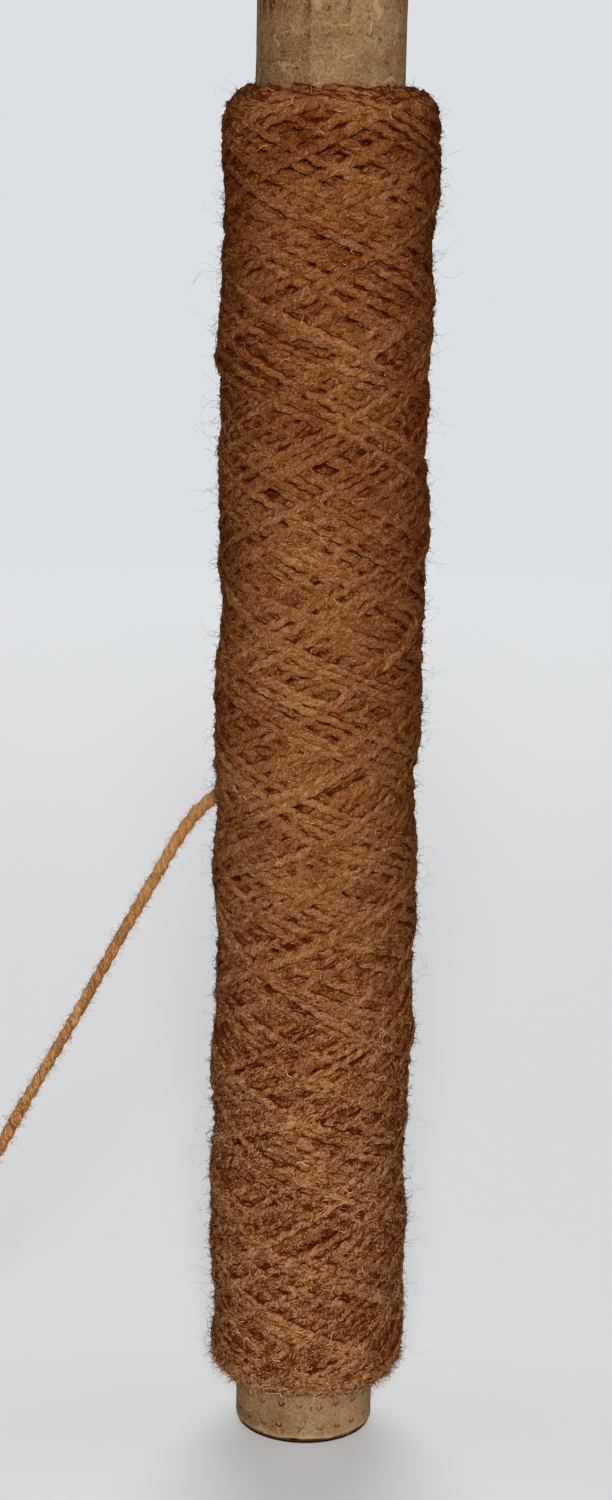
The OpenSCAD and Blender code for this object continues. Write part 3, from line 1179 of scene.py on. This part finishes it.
def face_ply(rng, material):
    """The outer paper ply: rippled, lapped along one straight seam, and ragged at both rims."""
    angle = np.linspace(0, TURN, FACE_COLUMNS, endpoint=False)
    z = np.concatenate([
        np.arange(FACE_LO, WOUND_LO + BARE_MARGIN, FACE_STEP),
        np.linspace(WOUND_LO + COVERED_MARGIN, WOUND_HI - COVERED_MARGIN, COVERED_ROWS),
        np.arange(WOUND_HI - BARE_MARGIN, TUBE_LEN - FACE_HI, FACE_STEP)])
    grid_z, grid_a = np.meshgrid(z, angle, indexing="ij")
    lap = ((SEAM_AT - grid_a) % TURN) / TURN
    lapped = (lap < 0.5).astype(float) * np.clip(LAP_SHADE[0] - lap * LAP_SHADE[1], 0, 1)
    ripple = sum(height * np.sin(grid_a * count + grid_z / rise) for height, count, rise in RIPPLES)
    step = np.clip(1 - ((grid_a - SEAM_AT) % TURN) * TUBE_R / LAP_WIDTH, 0, 1)
    radius = TUBE_R + ripple - LAP_STEP * step - FACE_SINK
    low_rim, high_rim = torn_rims(rng, angle, radius[0], radius[-1])
    bore = np.full(FACE_COLUMNS, PLY_R)
    inner = [ring_points(bore, at, angle) for at in (TUBE_LEN - INNER_END, INNER_END)]
    outer = list(ring_points(radius, grid_z, grid_a))
    loops = np.array([*outer, *high_rim, *inner, *low_rim[::-1]])
    mesh = ring_mesh("face_ply", loops)
    unlapped = np.zeros((len(loops) - len(z), FACE_COLUMNS))
    point_attribute(mesh, "lap", np.concatenate([lapped, unlapped]))
    piece = placed_object("face_ply", mesh)
    piece.data.materials.append(material)
    return piece


# ---- The object ----


def ride_and_slot(piece):
    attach(piece, "root")


def give(piece, material):
    piece.data.materials.clear()
    piece.data.materials.append(material)


make_camera()
scene = bpy.context.scene
scene.view_settings.view_transform = "Standard"

fibres = wool_group()
wools = {name: wool_material(name, fibres, **look) for name, look in WOOLS.items()}
paper = paper_group()
face_kraft = kraft_material("face_kraft", (0.135, 0.062, 0.021), (0.28, 0.155, 0.070), (0.425, 0.265, 0.14),
                            paper, marks_group())
core_kraft = kraft_material("core_kraft", (0.18, 0.105, 0.055), (0.28, 0.17, 0.095), (0.37, 0.24, 0.14),
                            paper, None)
plied = plied_yarn_tree()
fuzz = fuzz_tree()

WOUND = {"Ply radius": PLY_THICK * MM, "Ply offset": PLY_OFF * MM, "Twist pitch": TWIST_PITCH,
         "Flatness": 0.72, "Side shade": 0.8, "Sides": 5, "Material": wools["wool"]}
LOOSE = {"Ply radius": TAIL_PLY_THICK * MM, "Ply offset": TAIL_PLY_OFF * MM, "Twist pitch": TWIST_PITCH,
         "Flatness": 1.0, "Side shade": 0.0, "Sides": 8, "Material": wools["loose_wool"]}

# Fibres: which share of the points they grow by, their number in a square metre, length, thickness,
# curl, the spacing of the curls, how flat they lie, how far they follow the strand, the side that
# they grow on, their segments, and their wool.
FIBRE_INPUTS = ("Where", "Density", "Length", "Thickness", "Curl", "Curl pitch", "Lie flat", "Combed",
                "Facing", "Segments", "Material")
FIBRES = {
    "loose_end_fuzz": ("open", 0.95e6, 0.0022, 0.00007, 3.0, 0.0010, 0.75, 0.6, -2.0, 3, "loose_fuzz"),
    "loose_end_fray": ("near_end", 1.4e6, 0.0045, 0.00008, 1.0, 0.0022, 0.9, 2.5, -2.0, 4, "loose_fuzz"),
    "nap": ("open", 0.135e6, 0.0026, 0.000088, 2.0, 0.0014, 0.80, 3.0, 0.2, 2, "wool_fuzz"),
    "tufts": ("curls", 0.088e6, 0.0026, 0.00012, 3.0, 0.0010, 0.90, 2.6, 0.3, 3, "wool_fleck"),
    "strays": ("open", 0.008e6, 0.0075, 0.000040, 2.4, 0.0022, 0.6, 0.0, 0.5, 6, "wool_fuzz"),
    "end_fuzz": ("near_end", 0.80e6, 0.0032, 0.00010, 2.2, 0.0020, 0.85, 0.6, 0.0, 3, "wool_fleck"),
    "under_winding_nap": ("bare", 1.6e6, 0.0026, 0.00012, 2.2, 0.0014, 0.8, 0.0, 0.2, 2, "wool_fuzz"),
}
WOUND_FIBRES = ("nap", "tufts", "strays", "end_fuzz")
LOOSE_SEED = 3
FRAY_SEED = 5
SLEEVE_SEED = 9
WOUND_SEED = 40
LABEL_SEED_STEP = 10


def fuzzed(name, carrier, kind, seed):
    """Fibres of one kind, grown from a piece's surface."""
    values = dict(zip(FIBRE_INPUTS, FIBRES[kind]))
    values["Material"] = wools[values["Material"]]
    return grown(name, carrier.data, fuzz, {**values, "Seed": seed})



rng = np.random.default_rng(20)
tail = tail_run(rng)
tail_piece = grown("loose_end", line_mesh("loose_end_line", [tail]), plied, LOOSE)
tail_fuzz = fuzzed("loose_end_fuzz", tail_piece, "loose_end_fuzz", LOOSE_SEED)
fray = fuzzed("loose_end_fray", tail_piece, "loose_end_fray", FRAY_SEED)
for hair in (tail_fuzz, fray):
    rest_on_ground(hair)

laid, covers = lay_passes(rng)
yarn_pieces = []
for number, chosen in enumerate(share_out([visible_runs(one) for one in laid]), 1):
    name = f"wound_yarn_{number}"
    yarn_pieces.append(grown(name, line_mesh(name + "_line", chosen), plied, WOUND))

fuzz_pieces = []
for part, piece in enumerate(yarn_pieces):
    for kind in WOUND_FIBRES:
        seed = WOUND_SEED + part + LABEL_SEED_STEP * len(kind)
        fuzz_pieces.append(fuzzed(f"{kind}_{part + 1}", piece, kind, seed))

sleeve = under_winding(covers)
sleeve_nap = fuzzed("under_winding_nap", sleeve, "under_winding_nap", SLEEVE_SEED)
give(sleeve, wools["wool"])
face = face_ply(rng, face_kraft)

for piece in (*yarn_pieces, *fuzz_pieces, tail_piece, tail_fuzz, fray):
    ride_and_slot(piece)
for piece in (sleeve, sleeve_nap):
    ride_and_slot(piece)
ride_and_slot(face)
for part, piece in enumerate(yarn_pieces):
    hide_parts(f"yarn_lay_{part // 2 + 1}")
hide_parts("yarn_base_layer", "yarn_close_layer")
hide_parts("core_face_ply")
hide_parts("yarn_tail")

for name in ("core_liner", "core_ply_1", "core_ply_2", "core_ply_3", "core_ply_4"):
    give(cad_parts[name], core_kraft)


# ---- Studio ----

# Each lamp: its place, what it is aimed at, its size in metres and its power in watts.
LAMPS = {
    "key": ((0.0, -2.6, 1.2), (0, 0, 0.16), 0.6, 74),
    "left": ((-2.5, 0.3, 1.2), (0, 0, 0.2), 1.4, 6),
    "right": ((2.5, 0.3, 1.2), (0, 0, 0.2), 1.4, 6),
    "back": ((0, 2.6, 1.9), (0, 0, 0.2), 2.6, 62),
}
SKY = (0.95, 0.97, 1.0, 1)
SKY_STRENGTH = 0.12
FLOOR_GLOSS = (0.9, 0.3)
FLOOR_LIT = (0.38, 0.375, 0.37)
FLOOR_SEEN = (0.80, 0.81, 0.82)
BACKDROP = (0.72, 0.74, 0.76, 1)
BACKDROP_FROM = (0.5, 1.6)
FLOOR_FIRST_R = 0.2
FLOOR_FLAT_R = 3.4
FLOOR_FLAT_RINGS = 9
FLOOR_BEND_FROM = 0.1
FLOOR_BEND_RINGS = 12
FLOOR_SWEEP_R = 1.8
FLOOR_TOP = 3.2
FLOOR_COLUMNS = 96


def area_light(name, at, aim, size, power):
    data = bpy.data.lights.new(name, "AREA")
    data.shape = "DISK"
    data.size = size
    data.energy = power
    light = placed_object(name, data)
    towards = Vector(aim) - Vector(at)
    light.rotation_euler = towards.to_track_quat("-Z", "Y").to_euler()
    light.location = at


def floor_material():
    """Matt and pale. Far off, it shows its own plain tone to the eye, whatever light falls there."""
    material, tree, shader = new_material("floor", *FLOOR_GLOSS)
    light = node(tree, "ShaderNodeLightPath").outputs
    mirrored = calc("MAXIMUM", light["Is Glossy Ray"], light["Is Transmission Ray"])
    eye = calc("MAXIMUM", light["Is Camera Ray"], mirrored)
    paint = ramp(eye, [(0.0, FLOOR_LIT), (1.0, FLOOR_SEEN)])
    tree.links.new(paint, shader.inputs["Base Color"])
    backdrop = spread_out(length_of(object_place(tree)), *BACKDROP_FROM)
    glow = node(tree, "ShaderNodeEmission", [(0, BACKDROP), (1, 1.0)]).outputs[0]
    mixed = node(tree, "ShaderNodeMixShader", [
        (0, times(eye, backdrop)), (1, shader.outputs[0]), (2, glow)]).outputs[0]
    tree.links.new(mixed, tree.nodes["Material Output"].inputs["Surface"])
    return material


def sweep(material):
    """A flat floor that curves up far away on every side."""
    bend = np.linspace(FLOOR_BEND_FROM, math.pi / 2, FLOOR_BEND_RINGS)
    flat = np.linspace(FLOOR_FIRST_R, FLOOR_FLAT_R, FLOOR_FLAT_RINGS)
    ring = np.concatenate([flat, FLOOR_FLAT_R + FLOOR_SWEEP_R * np.sin(bend)])
    rise = np.concatenate([0 * flat, FLOOR_SWEEP_R - FLOOR_SWEEP_R * np.cos(bend)])
    rise[-1] = FLOOR_TOP
    angle = np.linspace(0, TURN, FLOOR_COLUMNS, endpoint=False)
    verts = [(0, 0, 0)] + [(r * math.cos(a), r * math.sin(a), h) for r, h in zip(ring, rise) for a in angle]
    n = len(angle)
    faces = [(0, 1 + j, 1 + (j + 1) % n) for j in range(n)]
    for i in range(len(ring) - 1):
        for j in range(n):
            a, b = 1 + i * n + j, 1 + i * n + (j + 1) % n
            faces.append((a, a + n, b + n, b))
    mesh = bpy.data.meshes.new("floor")
    mesh.from_pydata(verts, [], faces)
    mesh.polygons.foreach_set("use_smooth", np.ones(len(faces), bool))
    mesh.materials.append(material)
    mesh.update()
    placed_object("floor", mesh)


for name, lamp in LAMPS.items():
    area_light(name, *lamp)
world = bpy.data.worlds.new("world")
scene.world = world
world.use_nodes = True
world.node_tree.nodes["Background"].inputs[0].default_value = SKY
world.node_tree.nodes["Background"].inputs[1].default_value = SKY_STRENGTH
sweep(floor_material())
